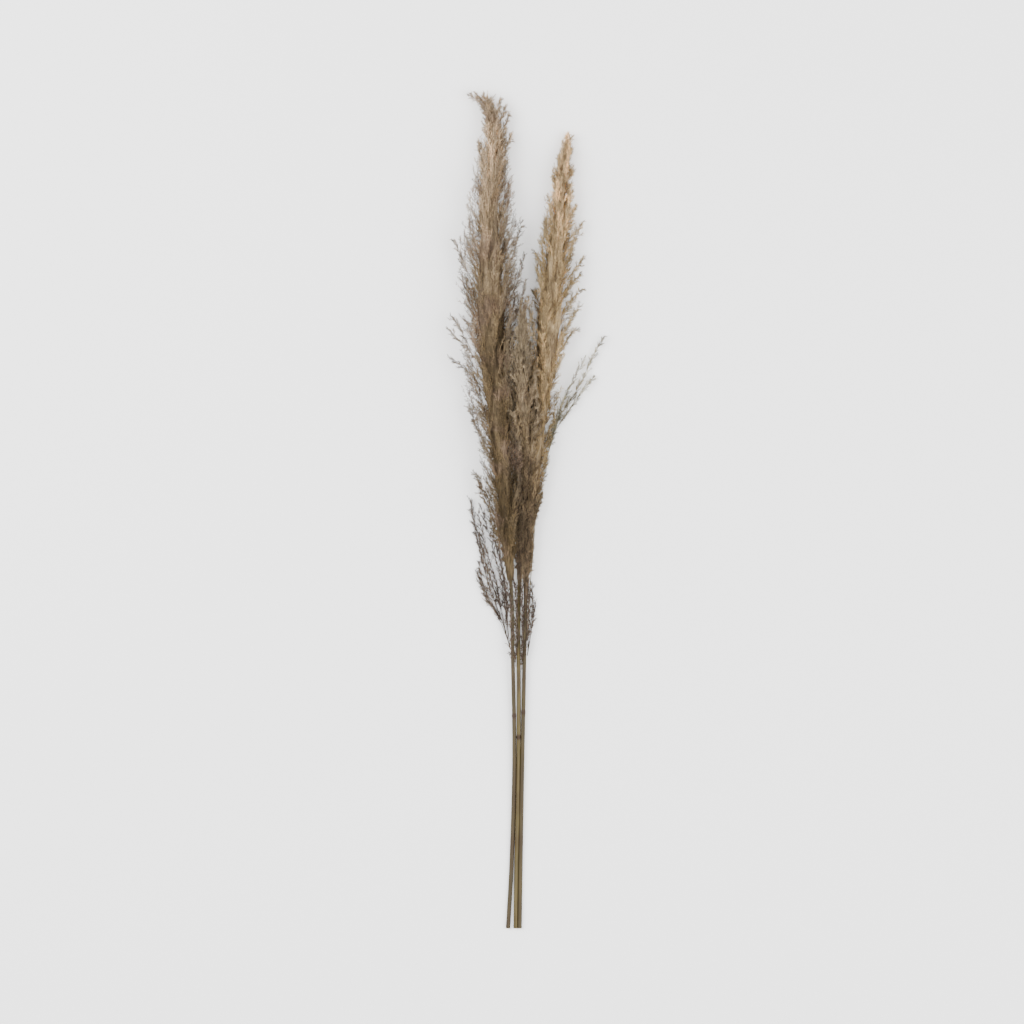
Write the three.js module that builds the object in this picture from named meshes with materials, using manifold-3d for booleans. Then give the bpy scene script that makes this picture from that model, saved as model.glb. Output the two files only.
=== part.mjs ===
// A bunch of three cut and dried pampas grass stalks, laid down on a surface, in millimetres with +Z up.
// The stems run along +Y, from their cut ends to the tips of the plumes.
// Each stalk is a stem and a plume. A plume is a slim core with branches standing out of it all round,
// and every other branch carries a thinner twig. Loose sprays grow from the stalks below the plumes.
import * as THREE from "three";
import { mergeVertices } from "three/addons/utils/BufferGeometryUtils.js";
import Module from "manifold-3d";

const wasm = await Module();
wasm.setup();

// Stems
const STEM_RADIUS = 3.0;
const STEM_TOP_RADIUS = 2.5;
const STEM_SIDES = 8;
const STEM_STEPS = 8;
const STEM_LYING_LENGTH = 90;
const JOINT_SWELL = 0.5;
const JOINT_HALF_LENGTH = 5;
const JOINT_RINGS = [-1, -0.3, 0.3, 1];
const LYING_FLAT_DEPTH = 0.2;
const AXIS_HEIGHT_LYING = STEM_RADIUS * Math.cos(Math.PI / STEM_SIDES) - LYING_FLAT_DEPTH;

// Plumes. Branches of the inner layer fill the body, and those of the outer layer reach its edge.
const CORE_SIDES = 6;
const CORE_STEPS = 12;
const CORE_END = 0.95;
const CORE_TIP_RADIUS = 0.5;
const CORE_BLUNTNESS = 6;
const BRANCH_SIDES = 3;
const BRANCH_RADIUS = 3.0;
const BRANCH_ROOT_SHARE = 0.75;
const BRANCH_FLARE = 1.2;
const LAST_ROOT = 0.95;
const OUTER_REACH = [0.86, 1.1];
const INNER_REACH = [0.5, 0.8];
const INNER_LENGTH = 0.8;
const ANGLE_SCATTER = [-0.3, 0.3];
const LENGTH_SCATTER = [0.85, 1.15];
const TWIG_RADIUS = 1.7;
const TWIG_LENGTH = 30;
const TWIG_START = 0.42;
const TWIG_ANGLE = THREE.MathUtils.degToRad(26);
const ROOT_DEPTH = 2.6;
const LOOSE_TUFT_RADIUS = 2.2;

// Room between one stalk and the next, and how far the lowest branches are pressed past the surface
// before they are trimmed flat on it.
const CLEARANCE = 0.4;
const SEAT_GAP = 0.3;
const PRESSED = 2.2;
const SOFT_FROM = 0.55;
const GOLDEN_ANGLE = Math.PI * (3 - Math.sqrt(5));
const LINE_SAMPLES = 400;

// The stalks' centre lines, from the cut end to the tip of the plume. envelope gives the plume's
// radius at equal shares of its length, from its foot to its tip. A loose tuft stands away from the rest.
const STALKS = {
  left: {
    line: [
      [-10, 0, AXIS_HEIGHT_LYING],
      [-5.2, STEM_LYING_LENGTH, AXIS_HEIGHT_LYING],
      [-1, 250, 5.5],
      [-3.5, 400, 11],
      [-4.5, 470, 18],
      [-9, 540, 27],
      [-14, 620, 34],
      [-20, 690, 36],
      [-27, 770, 32],
      [-34, 870, 28.5],
      [-36, 980, 27],
      [-33, 1080, 22],
      [-28, 1140, 18],
      [-49, 1198, 14],
    ],
    plumeFoot: 500,
    envelope: [4, 25, 34, 40, 52, 57, 54, 47, 37, 25, 5],
    coreShare: 0.4,
    branches: 178,
    branchLength: [60, 80, 54],
    looseTufts: [
      [[-44, 805, 31], [-72, 836, 28], [-98, 864, 24]],
      [[-42, 772, 31], [-66, 798, 29], [-93, 822, 25]],
    ],
    jointAt: 306,
    seed: 11,
    colour: 0x97836b,
  },
  right: {
    line: [
      [6.7, 0, AXIS_HEIGHT_LYING],
      [8, STEM_LYING_LENGTH, AXIS_HEIGHT_LYING],
      [11, 243, 4.5],
      [13, 330, 6.5],
      [14.6, 440, 10.5],
      [19, 565, 15],
      [30, 675, 17],
      [42, 795, 20],
      [53, 915, 21],
      [63, 1015, 18],
      [68, 1085, 14],
      [76, 1136, 10],
    ],
    plumeFoot: 470,
    envelope: [5, 10, 13, 20, 23, 31, 42, 38, 33, 22, 5],
    coreShare: 0.46,
    branches: 136,
    branchLength: [46, 62, 40],
    looseTufts: [[[60, 842, 22], [76, 868, 20], [91, 892, 18]]],
    jointAt: 311,
    seed: 23,
    colour: 0xb0946a,
  },
  middle: {
    line: [
      [0.8, 0, AXIS_HEIGHT_LYING],
      [2.1, STEM_LYING_LENGTH, AXIS_HEIGHT_LYING],
      [3.8, 170, 3.4],
      [4.9, 250, 4.6],
      [5.2, 330, 6.5],
      [5, 430, 8.5],
      [7, 520, 10],
      [11, 600, 13],
      [14, 660, 21],
      [12.5, 720, 33],
      [10.5, 780, 45],
      [10.5, 835, 52],
      [11, 880, 53],
    ],
    plumeFoot: 500,
    envelope: [4, 9, 13, 16, 19, 22, 25, 25, 22, 16, 4],
    coreShare: 0.4,
    branches: 76,
    branchLength: [40, 50, 36],
    looseTufts: [],
    jointAt: 275,
    seed: 37,
    colour: 0x87745c,
  },
};

// Loose sprays. The first thread of each starts beside its stem, and the others leave that thread at the
// share of its length in leaves. A thread bears side twigs in turn to its left and right, from the share
// in twigsFrom to its tip.
const SPRAYS = {
  side: {
    colour: 0x9c9278,
    threads: [
      {
        line: [
          [17.85, 414, 9.6],
          [24, 475, 6],
          [29, 530, 3.5],
          [33, 592, 3],
          [46, 675, 3],
          [61, 730, 4.5],
          [86, 768, 6],
          [107, 808, 7],
          [135, 852, 7],
        ],
        twigs: 13,
        twigsFrom: 0.6,
        twigLength: 42,
      },
      {
        leaves: 0.58,
        line: [[60, 726, 6], [79, 764, 9], [104, 818, 9]],
        twigs: 7,
        twigsFrom: 0.3,
        twigLength: 32,
      },
    ],
  },
  low_left: {
    colour: 0x857868,
    threads: [
      {
        line: [[-7.2, 404, 10.6], [-18, 440, 8.5], [-38, 495, 5.5], [-52, 550, 4], [-56, 604, 3]],
        twigs: 8,
        twigsFrom: 0.3,
        twigLength: 27,
      },
      {
        leaves: 0.1,
        line: [[-20, 456, 11], [-32, 500, 10], [-46, 590, 9]],
        twigs: 6,
        twigsFrom: 0.3,
        twigLength: 24,
      },
      {
        leaves: 0.06,
        line: [[-19, 452, 4.5], [-28, 478, 4], [-41, 520, 3.4]],
        twigs: 4,
        twigsFrom: 0.35,
        twigLength: 20,
      },
      {
        leaves: 0.14,
        line: [[-21, 474, 6], [-27, 492, 5], [-36, 536, 3.5]],
        twigs: 5,
        twigsFrom: 0.35,
        twigLength: 22,
      },
    ],
  },
  low_right: {
    colour: 0x857868,
    threads: [
      {
        line: [[17.6, 392, 8.6], [24, 418, 9], [29, 444, 8], [30, 490, 4]],
        twigs: 6,
        twigsFrom: 0.3,
        twigLength: 18,
      },
      {
        leaves: 0.15,
        line: [[24, 424, 5], [27, 450, 3.4]],
        twigs: 3,
        twigsFrom: 0.3,
        twigLength: 16,
      },
    ],
  },
};
const THREAD_RADIUS = 1.3;
const THREAD_SIDE_RADIUS = 1.0;
const THREAD_TIP_RADIUS = 0.6;
const THREAD_SIDES = 3;
const THREAD_STEP_LENGTH = 45;
const THREAD_TWIG_RADIUS = 1.1;
const THREAD_TWIG_ROOT_SHARE = 0.7;
const THREAD_TWIG_WIDEST = 0.4;
const THREAD_TWIG_SHORTENING = 0.45;
const THREAD_TWIG_TURN = [0.7, 1.3];
const THREAD_TWIG_LIFT = [-0.09, 0.21];
const LAST_TWIG = 0.97;
const FIRST_SPRAY_SEED = 51;

const SURFACE_SIZE = 3000;
const STEM_COLOUR = 0x85754f;
const UP = new THREE.Vector3(0, 0, 1);

// A repeatable draw between 0 and 1.
function drawer(seed) {
  let state = seed;
  return () => {
    state = (Math.imul(state, 1664525) + 1013904223) >>> 0;
    return state / 4294967296;
  };
}

function drawn([low, high], draw) {
  return THREE.MathUtils.lerp(low, high, draw());
}

// The value of a list at a share of its length, between its entries.
function along(list, share) {
  const place = THREE.MathUtils.clamp(share, 0, 1) * (list.length - 1);
  const index = Math.min(Math.floor(place), list.length - 2);
  return THREE.MathUtils.lerp(list[index], list[index + 1], place - index);
}

// Sideways, forward and upward directions of a line that heads forward.
function frameOf(heading) {
  const forward = heading.clone().normalize();
  const side = new THREE.Vector3().crossVectors(forward, UP).normalize();
  return { forward, side, up: new THREE.Vector3().crossVectors(side, forward) };
}

// An upright cylinder or cone of unit size, bent so that each row of its corners goes round one point.
function bend(geometry, points, radii, roll = 0) {
  const last = points.length - 1;
  const frames = points.map((_, i) =>
    frameOf(points[Math.min(i + 1, last)].clone().sub(points[Math.max(i - 1, 0)])),
  );
  const corners = geometry.getAttribute("position");
  for (let i = 0; i < corners.count; i++) {
    const row = Math.round((corners.getY(i) + 0.5) * last);
    const spread = Math.hypot(corners.getX(i), corners.getZ(i));
    const angle = Math.atan2(corners.getZ(i), corners.getX(i)) + roll;
    const reach = spread > 1e-6 ? radii[row] : 0;
    const corner = points[row]
      .clone()
      .addScaledVector(frames[row].side, reach * Math.cos(angle))
      .addScaledVector(frames[row].up, reach * Math.sin(angle));
    corners.setXYZ(i, corner.x, corner.y, corner.z);
  }
  return geometry;
}

function tube(points, radii, sides, roll = 0) {
  return bend(new THREE.CylinderGeometry(1, 1, 1, sides, points.length - 1), points, radii, roll);
}

function spike(points, radii, roll = 0) {
  return bend(new THREE.ConeGeometry(1, 1, BRANCH_SIDES, points.length - 1), points, radii, roll);
}

function solidOf(geometry) {
  geometry.deleteAttribute("normal");
  geometry.deleteAttribute("uv");
  const merged = mergeVertices(geometry);
  return new wasm.Manifold(
    new wasm.Mesh({
      numProp: 3,
      vertProperties: merged.getAttribute("position").array,
      triVerts: new Uint32Array(merged.index.array),
    }),
  );
}

function geometryOf(solid) {
  const mesh = solid.getMesh();
  return new THREE.BufferGeometry()
    .setAttribute("position", new THREE.BufferAttribute(mesh.vertProperties, 3))
    .setIndex(new THREE.BufferAttribute(mesh.triVerts, 1));
}

// The outer skin of the largest body: sealed hollows are filled and loose scraps are left out.
function wholeOf(solid) {
  return solid.decompose().reduce((largest, body) => (body.volume() > largest.volume() ? body : largest));
}

function joined(geometries) {
  return wasm.Manifold.union(geometries.map(solidOf));
}

function smooth(points) {
  return new THREE.CatmullRomCurve3(points, false, "centripetal");
}

// A stalk's centre line, where its plume starts on it, and how far it reaches from that line at a place y.
class Stalk {
  constructor(name, facts) {
    Object.assign(this, facts, { name });
    this.curve = smooth(facts.line.map((p) => new THREE.Vector3(...p)));
    this.samples = this.curve.getSpacedPoints(LINE_SAMPLES);
    this.foot = this.samples.findIndex((p) => p.y > this.plumeFoot) / LINE_SAMPLES;
    this.length = this.curve.getLength();
    this.plumeLength = this.length * (1 - this.foot);
    this.draw = drawer(facts.seed);
  }

  // A point of the plume's own centre line, at a share of the plume's length.
  onPlume(share) {
    return this.curve.getPointAt(this.lineShare(share));
  }

  frameOnPlume(share) {
    return frameOf(this.curve.getTangentAt(this.lineShare(share)));
  }

  lineShare(plumeShare) {
    return THREE.MathUtils.clamp(this.foot + (1 - this.foot) * plumeShare, 0, 1);
  }

  // The centre line's point at a place y with the room that the stalk takes there, or null past its ends.
  at(y) {
    const index = this.samples.findIndex((p) => p.y >= y);
    if (index < 1) return null;
    const [before, after] = [this.samples[index - 1], this.samples[index]];
    const centre = before.clone().lerp(after, (y - before.y) / (after.y - before.y));
    const share = (index / LINE_SAMPLES - this.foot) / (1 - this.foot);
    return { centre, room: share < 0 ? STEM_RADIUS : along(this.envelope, share) * OUTER_REACH[1] };
  }
}

const stalks = Object.entries(STALKS).map(([name, facts]) => new Stalk(name, facts));

// A distance that nears its limit and never passes it.
function softened(distance, limit) {
  const share = distance / limit;
  if (share <= SOFT_FROM) return distance;
  return limit * (SOFT_FROM + (1 - SOFT_FROM) * Math.tanh((share - SOFT_FROM) / (1 - SOFT_FROM)));
}

// Moves a point of a stalk's plume clear of the other stalks and of the surface that the bunch lies on.
function settled(point, stalk, thickness) {
  const own = stalk.at(point.y);
  if (!own) return point;
  const moved = point.clone();
  const hold = (direction, limit) => {
    const distance = moved.clone().sub(own.centre).dot(direction);
    if (distance > 0) moved.addScaledVector(direction, softened(distance, limit) - distance);
  };
  for (const other of stalks) {
    const there = other === stalk ? null : other.at(point.y);
    if (!there) continue;
    const across = there.centre.clone().sub(own.centre);
    const gap = across.length();
    hold(across.normalize(), (gap * own.room) / (own.room + there.room) - thickness - CLEARANCE);
  }
  hold(new THREE.Vector3(0, 0, -1), own.centre.z + PRESSED);
  return moved;
}

// A straight stretch along the surface, a slow taper, and a slight swelling at the joint.
function stem(stalk) {
  const lyingShare = STEM_LYING_LENGTH / stalk.length;
  const jointShare = stalk.jointAt / stalk.length;
  const jointWidth = JOINT_HALF_LENGTH / stalk.length;
  const stations = [0, ...JOINT_RINGS.map((off) => jointShare + off * jointWidth)];
  for (let i = 0; i <= STEM_STEPS; i++) {
    const share = THREE.MathUtils.lerp(lyingShare, stalk.foot - SEAT_GAP / stalk.length, i / STEM_STEPS);
    if (Math.abs(share - jointShare) > 2 * jointWidth) stations.push(share);
  }
  stations.sort((a, b) => a - b);
  const radii = stations.map((share) => {
    const taper = THREE.MathUtils.smoothstep(share, lyingShare, stalk.foot);
    const swell = Math.abs(share - jointShare) < jointWidth / 2 ? JOINT_SWELL : 0;
    return THREE.MathUtils.lerp(STEM_RADIUS, STEM_TOP_RADIUS, taper) + swell;
  });
  const points = stations.map((share) => stalk.curve.getPointAt(share));
  return tube(points, radii, STEM_SIDES, Math.PI / STEM_SIDES);
}

// The core's radius is a share of the plume's, and it shrinks to a thread towards the tip.
function coreRadius(stalk, share) {
  const shrunk = 1 - share ** CORE_BLUNTNESS;
  return Math.max(CORE_TIP_RADIUS, along(stalk.envelope, share) * stalk.coreShare * shrunk);
}

function core(stalk) {
  const shares = Array.from({ length: CORE_STEPS + 1 }, (_, i) => (CORE_END * i) / CORE_STEPS);
  const radii = shares.map((share, i) => (i === 0 ? STEM_TOP_RADIUS : coreRadius(stalk, share)));
  return tube(shares.map((share) => stalk.onPlume(share)), radii, CORE_SIDES);
}

// A point of a plume, by its share of the length, its angle round the centre line and its distance from it.
function inPlume(stalk, share, angle, distance) {
  const { side, up } = stalk.frameOnPlume(share);
  const point = stalk
    .onPlume(share)
    .addScaledVector(side, distance * Math.cos(angle))
    .addScaledVector(up, distance * Math.sin(angle));
  return settled(point, stalk, BRANCH_RADIUS);
}

// One branch that ascends from the core. An outer one reaches the plume's edge, with a twig at its side.
function branch(stalk, index) {
  const inner = index % 2 === 0;
  const rootShare = (LAST_ROOT * (index + 0.5)) / stalk.branches;
  const angle = index * GOLDEN_ANGLE + drawn(ANGLE_SCATTER, stalk.draw);
  const fullLength = along(stalk.branchLength, rootShare) * drawn(LENGTH_SCATTER, stalk.draw);
  const length = inner ? fullLength * INNER_LENGTH : fullLength;
  const tipShare = Math.min(rootShare + length / stalk.plumeLength, 1);
  const reach = along(stalk.envelope, tipShare) * drawn(inner ? INNER_REACH : OUTER_REACH, stalk.draw);
  const root = Math.max(0, coreRadius(stalk, rootShare) - ROOT_DEPTH);
  const place = (part, turn = 0) => {
    const distance = THREE.MathUtils.lerp(root, reach, part ** BRANCH_FLARE);
    return inPlume(stalk, THREE.MathUtils.lerp(rootShare, tipShare, part), angle + turn, distance);
  };
  const points = [place(0), place(0.5), place(1)];
  const tuft = spike(points, [BRANCH_RADIUS * BRANCH_ROOT_SHARE, BRANCH_RADIUS, 0], angle);
  if (inner) return [tuft];
  const twigEnd = Math.min(TWIG_START + TWIG_LENGTH / length, 1);
  const aside = (TWIG_LENGTH * Math.sin(TWIG_ANGLE)) / Math.max(reach * twigEnd, TWIG_LENGTH / 2);
  const twigRoot = points[0].clone().lerp(points[1], TWIG_START * 2);
  const twigTip = place(twigEnd, index % 4 === 1 ? aside : -aside);
  return [tuft, spike([twigRoot, twigTip], [TWIG_RADIUS, 0], angle)];
}

// A tuft that stands away from the plume's outline, grown from inside its core.
function looseTuft(stalk, line) {
  const points = line.map((p) => settled(new THREE.Vector3(...p), stalk, BRANCH_RADIUS));
  return spike(points, [BRANCH_RADIUS * BRANCH_ROOT_SHARE, LOOSE_TUFT_RADIUS, 0]);
}

function plume(stalk) {
  const pieces = [core(stalk)];
  for (let i = 0; i < stalk.branches; i++) pieces.push(...branch(stalk, i));
  for (const line of stalk.looseTufts) pieces.push(looseTuft(stalk, line));
  return joined(pieces);
}

// Moves a spray's point clear of the stalks and of the surface.
function outside(point) {
  const moved = point.clone();
  for (const stalk of stalks) {
    const there = stalk.at(moved.y);
    if (!there) continue;
    const across = moved.clone().sub(there.centre);
    const lack = there.room + THREAD_RADIUS + CLEARANCE - across.length();
    if (lack > 0) moved.addScaledVector(across.normalize(), lack);
  }
  moved.z = Math.max(moved.z, THREAD_RADIUS);
  return moved;
}

// The corner points of a thread. The first thread starts exactly at its seat.
function threadPoints({ line, leaves }, main) {
  const start = main ? pointAt(main, leaves) : new THREE.Vector3(...line[0]);
  const rest = (main ? line : line.slice(1)).map((p) => new THREE.Vector3(...p));
  const curve = smooth([start, ...rest]);
  const steps = Math.ceil(curve.getLength() / THREAD_STEP_LENGTH);
  return curve.getSpacedPoints(steps).map((point, i) => (i === 0 ? point : outside(point)));
}

// The point at a share of a row of points, and the heading there.
function pointAt(points, share) {
  const place = share * (points.length - 1);
  const step = Math.min(Math.floor(place), points.length - 2);
  return points[step].clone().lerp(points[step + 1], place - step);
}

function headingAt(points, share) {
  const step = Math.min(Math.floor(share * (points.length - 1)), points.length - 2);
  return points[step + 1].clone().sub(points[step]);
}

// A side twig of a thread: a thin spindle that leaves it at an angle and rises or sinks a little.
function threadTwig(points, share, side, length, draw) {
  const start = pointAt(points, share);
  const frame = frameOf(headingAt(points, share));
  const turn = side * TWIG_ANGLE * drawn(THREAD_TWIG_TURN, draw);
  const size = length * (1 - THREAD_TWIG_SHORTENING * share) * drawn(LENGTH_SCATTER, draw);
  const tip = start
    .clone()
    .addScaledVector(frame.forward, size * Math.cos(turn))
    .addScaledVector(frame.side, size * Math.sin(turn))
    .addScaledVector(frame.up, size * drawn(THREAD_TWIG_LIFT, draw));
  const end = outside(tip);
  const root = THREAD_TWIG_ROOT_SHARE * THREE.MathUtils.lerp(THREAD_RADIUS, THREAD_TIP_RADIUS, share);
  return spike([start, start.clone().lerp(end, THREAD_TWIG_WIDEST), end], [root, THREAD_TWIG_RADIUS, 0]);
}

function spray({ threads }, seed) {
  const draw = drawer(seed);
  const pieces = [];
  let main = null;
  for (const facts of threads) {
    const points = threadPoints(facts, main);
    const rootRadius = main ? THREAD_SIDE_RADIUS : THREAD_RADIUS;
    const shares = points.map((_, i) => i / (points.length - 1));
    const radii = shares.map((share) => THREE.MathUtils.lerp(rootRadius, THREAD_TIP_RADIUS, share));
    pieces.push(tube(points, radii, THREAD_SIDES));
    for (let i = 0; i < facts.twigs; i++) {
      const share = THREE.MathUtils.lerp(facts.twigsFrom, LAST_TWIG, (i + 0.5) / facts.twigs);
      pieces.push(threadTwig(points, share, i % 2 ? 1 : -1, facts.twigLength, draw));
    }
    main ??= points;
  }
  return joined(pieces);
}

// Everything below the surface that the bunch lies on, which trims what is pressed on it flat.
function underside() {
  const size = SURFACE_SIZE;
  return solidOf(new THREE.BoxGeometry(size, size, size).translate(0, 0, -size / 2));
}

function meshOf(name, solid, colour) {
  const material = new THREE.MeshStandardMaterial({ color: colour, roughness: 0.9, metalness: 0 });
  const mesh = new THREE.Mesh(geometryOf(wholeOf(solid.subtract(underside()))), material);
  mesh.name = name;
  return mesh;
}

const bunch = new THREE.Group();
for (const stalk of stalks) {
  bunch.add(meshOf("stem_" + stalk.name, solidOf(stem(stalk)), STEM_COLOUR));
  bunch.add(meshOf("plume_" + stalk.name, plume(stalk), stalk.colour));
}
Object.entries(SPRAYS).forEach(([name, facts], i) => {
  bunch.add(meshOf("spray_" + name, spray(facts, FIRST_SPRAY_SEED + i), facts.colour));
});

// The origin is under the middle of the bunch, on the surface.
const middle = new THREE.Box3().setFromObject(bunch).getCenter(new THREE.Vector3());
for (const mesh of bunch.children) mesh.geometry.translate(-middle.x, -middle.y, 0);

export default bunch;
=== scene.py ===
"""A bunch of three dried pampas grass stalks that lies on a pale surface, seen from above.

Lengths in the drawings below are millimetres; everything in the scene is in metres. The stems run along
+Y from their cut ends to the plume tips and +Z is up from the surface.
"""

import math

import bpy
import numpy as np
from bpy.props import FloatProperty, FloatVectorProperty, PointerProperty
from bpy.types import Operator, Panel, PropertyGroup
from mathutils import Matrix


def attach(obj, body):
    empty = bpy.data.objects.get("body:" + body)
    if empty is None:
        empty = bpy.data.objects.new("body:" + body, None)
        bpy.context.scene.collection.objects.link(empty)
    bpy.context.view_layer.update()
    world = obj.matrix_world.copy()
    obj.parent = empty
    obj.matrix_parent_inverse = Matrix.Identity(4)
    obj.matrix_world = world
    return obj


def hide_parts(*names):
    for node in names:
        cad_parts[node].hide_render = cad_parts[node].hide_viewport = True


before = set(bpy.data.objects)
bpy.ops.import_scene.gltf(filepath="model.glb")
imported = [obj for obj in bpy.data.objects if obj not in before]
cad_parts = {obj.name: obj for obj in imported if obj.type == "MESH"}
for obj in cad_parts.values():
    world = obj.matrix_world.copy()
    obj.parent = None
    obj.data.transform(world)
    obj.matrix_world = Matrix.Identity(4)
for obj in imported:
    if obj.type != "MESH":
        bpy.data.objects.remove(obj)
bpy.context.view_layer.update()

bl_info = {
    "name": "Pampas grass bunch",
    "version": (1, 0, 0),
    "blender": (4, 5, 0),
    "location": "3D View > Sidebar > Pampas",
    "description": "Grows three cut and dried pampas grass stalks that lie on a surface",
    "category": "Add Mesh",
}

BODY = "root"
MM = 0.001

# The middle of the bunch in the drawings, which becomes the origin.
DRAWING_MIDDLE = np.array([18.745, 599.790, 0.0])

# Height of a stem's centre line where the stem lies on the surface, and the room that a stem takes.
LYING = 2.572
STEM_RADIUS = 3.0

# Each stalk's centre line, the place of its plume's foot and of its joint along Y, how far the plume
# reaches from the line at even steps, the lines of its loose tufts, the lengths of its branches and
# side shoots, and how richly it is grown.
LEFT = {
    "line": [
        (-10, 0, LYING), (-5.2, 90, LYING), (-1, 250, 5.5), (-3.5, 400, 11), (-4.5, 470, 18),
        (-9, 540, 27), (-14, 620, 34), (-20, 690, 36), (-27, 770, 32), (-34, 870, 28.5), (-36, 980, 27),
        (-33, 1080, 22), (-30, 1132, 19), (-33, 1162, 17), (-42, 1188, 15),
    ],
    "plume_foot": 500,
    "envelope": [12, 26, 27, 34, 43, 48, 48, 41, 31, 20, 4],
    "loose": [
        [(-44, 805, 31), (-70, 834, 28), (-91, 857, 25)],
        [(-42, 772, 31), (-64, 796, 29), (-87, 817, 26)],
        [(-36, 1158, 19), (-46, 1182, 16), (-63, 1197, 13)],
        [(-37, 1166, 18), (-43, 1184, 17), (-54, 1197, 15)],
        [(-32, 1162, 20), (-34, 1182, 19), (-44, 1194, 17)],
        [(-29, 1158, 19), (-25, 1176, 17), (-22, 1188, 15)],
        [(-26, 1120, 20), (-17, 1145, 18), (-10, 1168, 15)],
        [(-28, 1138, 20), (-22, 1158, 18), (-15, 1178, 15)],
        [(-26, 1098, 21), (-14, 1118, 18), (-7, 1140, 15)],
        [(-40, 1080, 21), (-48, 1104, 19), (-51, 1128, 17)],
        [(-60, 930, 27), (-74, 955, 25), (-84, 985, 22)],
        [(-62, 830, 28), (-76, 856, 26), (-86, 876, 22)],
        [(-46, 700, 30), (-56, 722, 28), (-62, 745, 24)],
        [(-34, 608, 30), (-44, 630, 26), (-54, 652, 22)],
        [(-35, 600, 28), (-44, 618, 26), (-50, 636, 22)],
        [(-6, 830, 38), (8, 862, 36), (16, 896, 32)],
        [(-18, 880, 36), (-10, 915, 36), (-4, 950, 33)],
        [(-16, 838, 38), (-7, 872, 38), (0, 906, 35)],
        [(-18, 925, 34), (-10, 956, 33), (-4, 986, 30)],
        [(-24, 796, 58), (-14, 834, 59), (-7, 872, 54)],
        [(-22, 830, 54), (-12, 860, 55), (-5, 892, 50)],
        [(-10, 895, 34), (4, 930, 33), (13, 962, 29)],
        [(-8, 860, 36), (6, 892, 35), (14, 925, 31)],
        [(-12, 945, 32), (2, 982, 29), (8, 1012, 24)],
    ],
    "shoot_length": 1.0,
    "branch_length": [60, 80, 54],
    "joint_at": 306,
    "core_share": 0.4,
    "branches": 190,
    "shoots": 18,
    "hairs": 3,
    "seed": 11,
}
RIGHT = {
    "line": [
        (6.7, 0, LYING), (8, 90, LYING), (10.7, 243, 4.5), (12.5, 330, 6.5), (14.6, 440, 10.5),
        (19, 565, 15), (30, 675, 17), (42, 795, 20), (53, 915, 21), (63, 1015, 18), (68, 1085, 14),
        (76, 1136, 10),
    ],
    "plume_foot": 470,
    "envelope": [7, 8, 12, 18, 22, 27, 37, 31, 23, 17, 4],
    "loose": [
        [(60, 842, 22), (76, 868, 20), (91, 892, 18)],
        [(70, 1105, 14), (74, 1124, 12), (75, 1138, 10)],
        [(56, 868, 22), (76, 898, 20), (95, 918, 17)],
        [(58, 812, 20), (72, 842, 18), (86, 860, 15)],
        [(46, 920, 20), (37, 948, 18), (31, 970, 15)],
        [(70, 925, 18), (85, 945, 16), (96, 960, 13)],
        [(72, 960, 18), (85, 985, 16), (95, 1010, 13)],
        [(27, 586, 15), (32, 604, 12), (35, 620, 10)],
        [(25, 592, 14), (33, 608, 12), (38, 624, 10)],
        [(66, 985, 18), (78, 1010, 16), (86, 1038, 13)],
        [(62, 900, 20), (78, 922, 18), (92, 938, 15)],
    ],
    "shoot_length": 0.72,
    "branch_length": [46, 62, 40],
    "joint_at": 311,
    "core_share": 0.46,
    "branches": 154,
    "shoots": 17,
    "hairs": 3,
    "seed": 23,
}
MIDDLE = {
    "line": [
        (0.8, 0, LYING), (2.1, 90, LYING), (3.8, 170, 3.4), (5, 250, 4.6), (5.5, 330, 6.5),
        (5, 430, 8.5), (7, 520, 10), (11, 600, 13), (14, 660, 21), (12.5, 720, 33), (10.5, 780, 45),
        (10.5, 835, 52), (11, 880, 53),
    ],
    "plume_foot": 500,
    "envelope": [10, 13, 15, 17, 20, 23, 26, 24, 18, 10, 2],
    "loose": [
        [(11, 852, 53), (13, 880, 52), (19, 905, 49)],
        [(10, 846, 53), (8, 876, 53), (10, 902, 51)],
        [(14, 820, 55), (20, 850, 54), (22, 880, 50)],
        [(4, 800, 56), (-3, 828, 56), (-3, 856, 53)],
        [(5, 498, 12), (6, 540, 16), (7, 582, 21)],
        [(-1, 490, 16), (-4, 530, 22), (-5, 572, 28)],
        [(26, 688, 34), (27, 724, 38), (26, 760, 42)],
        [(4, 496, 13), (3, 530, 18), (2, 572, 25)],
        [(9, 494, 13), (11, 536, 17), (13, 578, 20)],
        [(-1, 780, 52), (-9, 818, 55), (-13, 856, 52)],
        [(-3, 752, 48), (-13, 792, 51), (-17, 832, 49)],
        [(2, 700, 38), (-8, 740, 42), (-12, 780, 42)],
        [(4, 740, 44), (-8, 782, 48), (-12, 820, 46)],
        [(2, 660, 30), (-5, 700, 36), (-8, 735, 38)],
        [(20, 700, 36), (28, 735, 36), (30, 770, 34)],
        [(20, 760, 46), (28, 795, 44), (30, 830, 42)],
        [(16, 800, 54), (24, 832, 52), (27, 864, 47)],
    ],
    "shoot_length": 0.9,
    "branch_length": [40, 50, 36],
    "joint_at": 275,
    "core_share": 0.4,
    "branches": 87,
    "shoots": 16,
    "hairs": 2,
    "seed": 37,
}
STALKS = {"left": LEFT, "right": RIGHT, "middle": MIDDLE}
LINE_SAMPLES = 400
STEPS_BETWEEN_POINTS = 60
GOLDEN_ANGLE = math.pi * (3 - math.sqrt(5))

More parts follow.
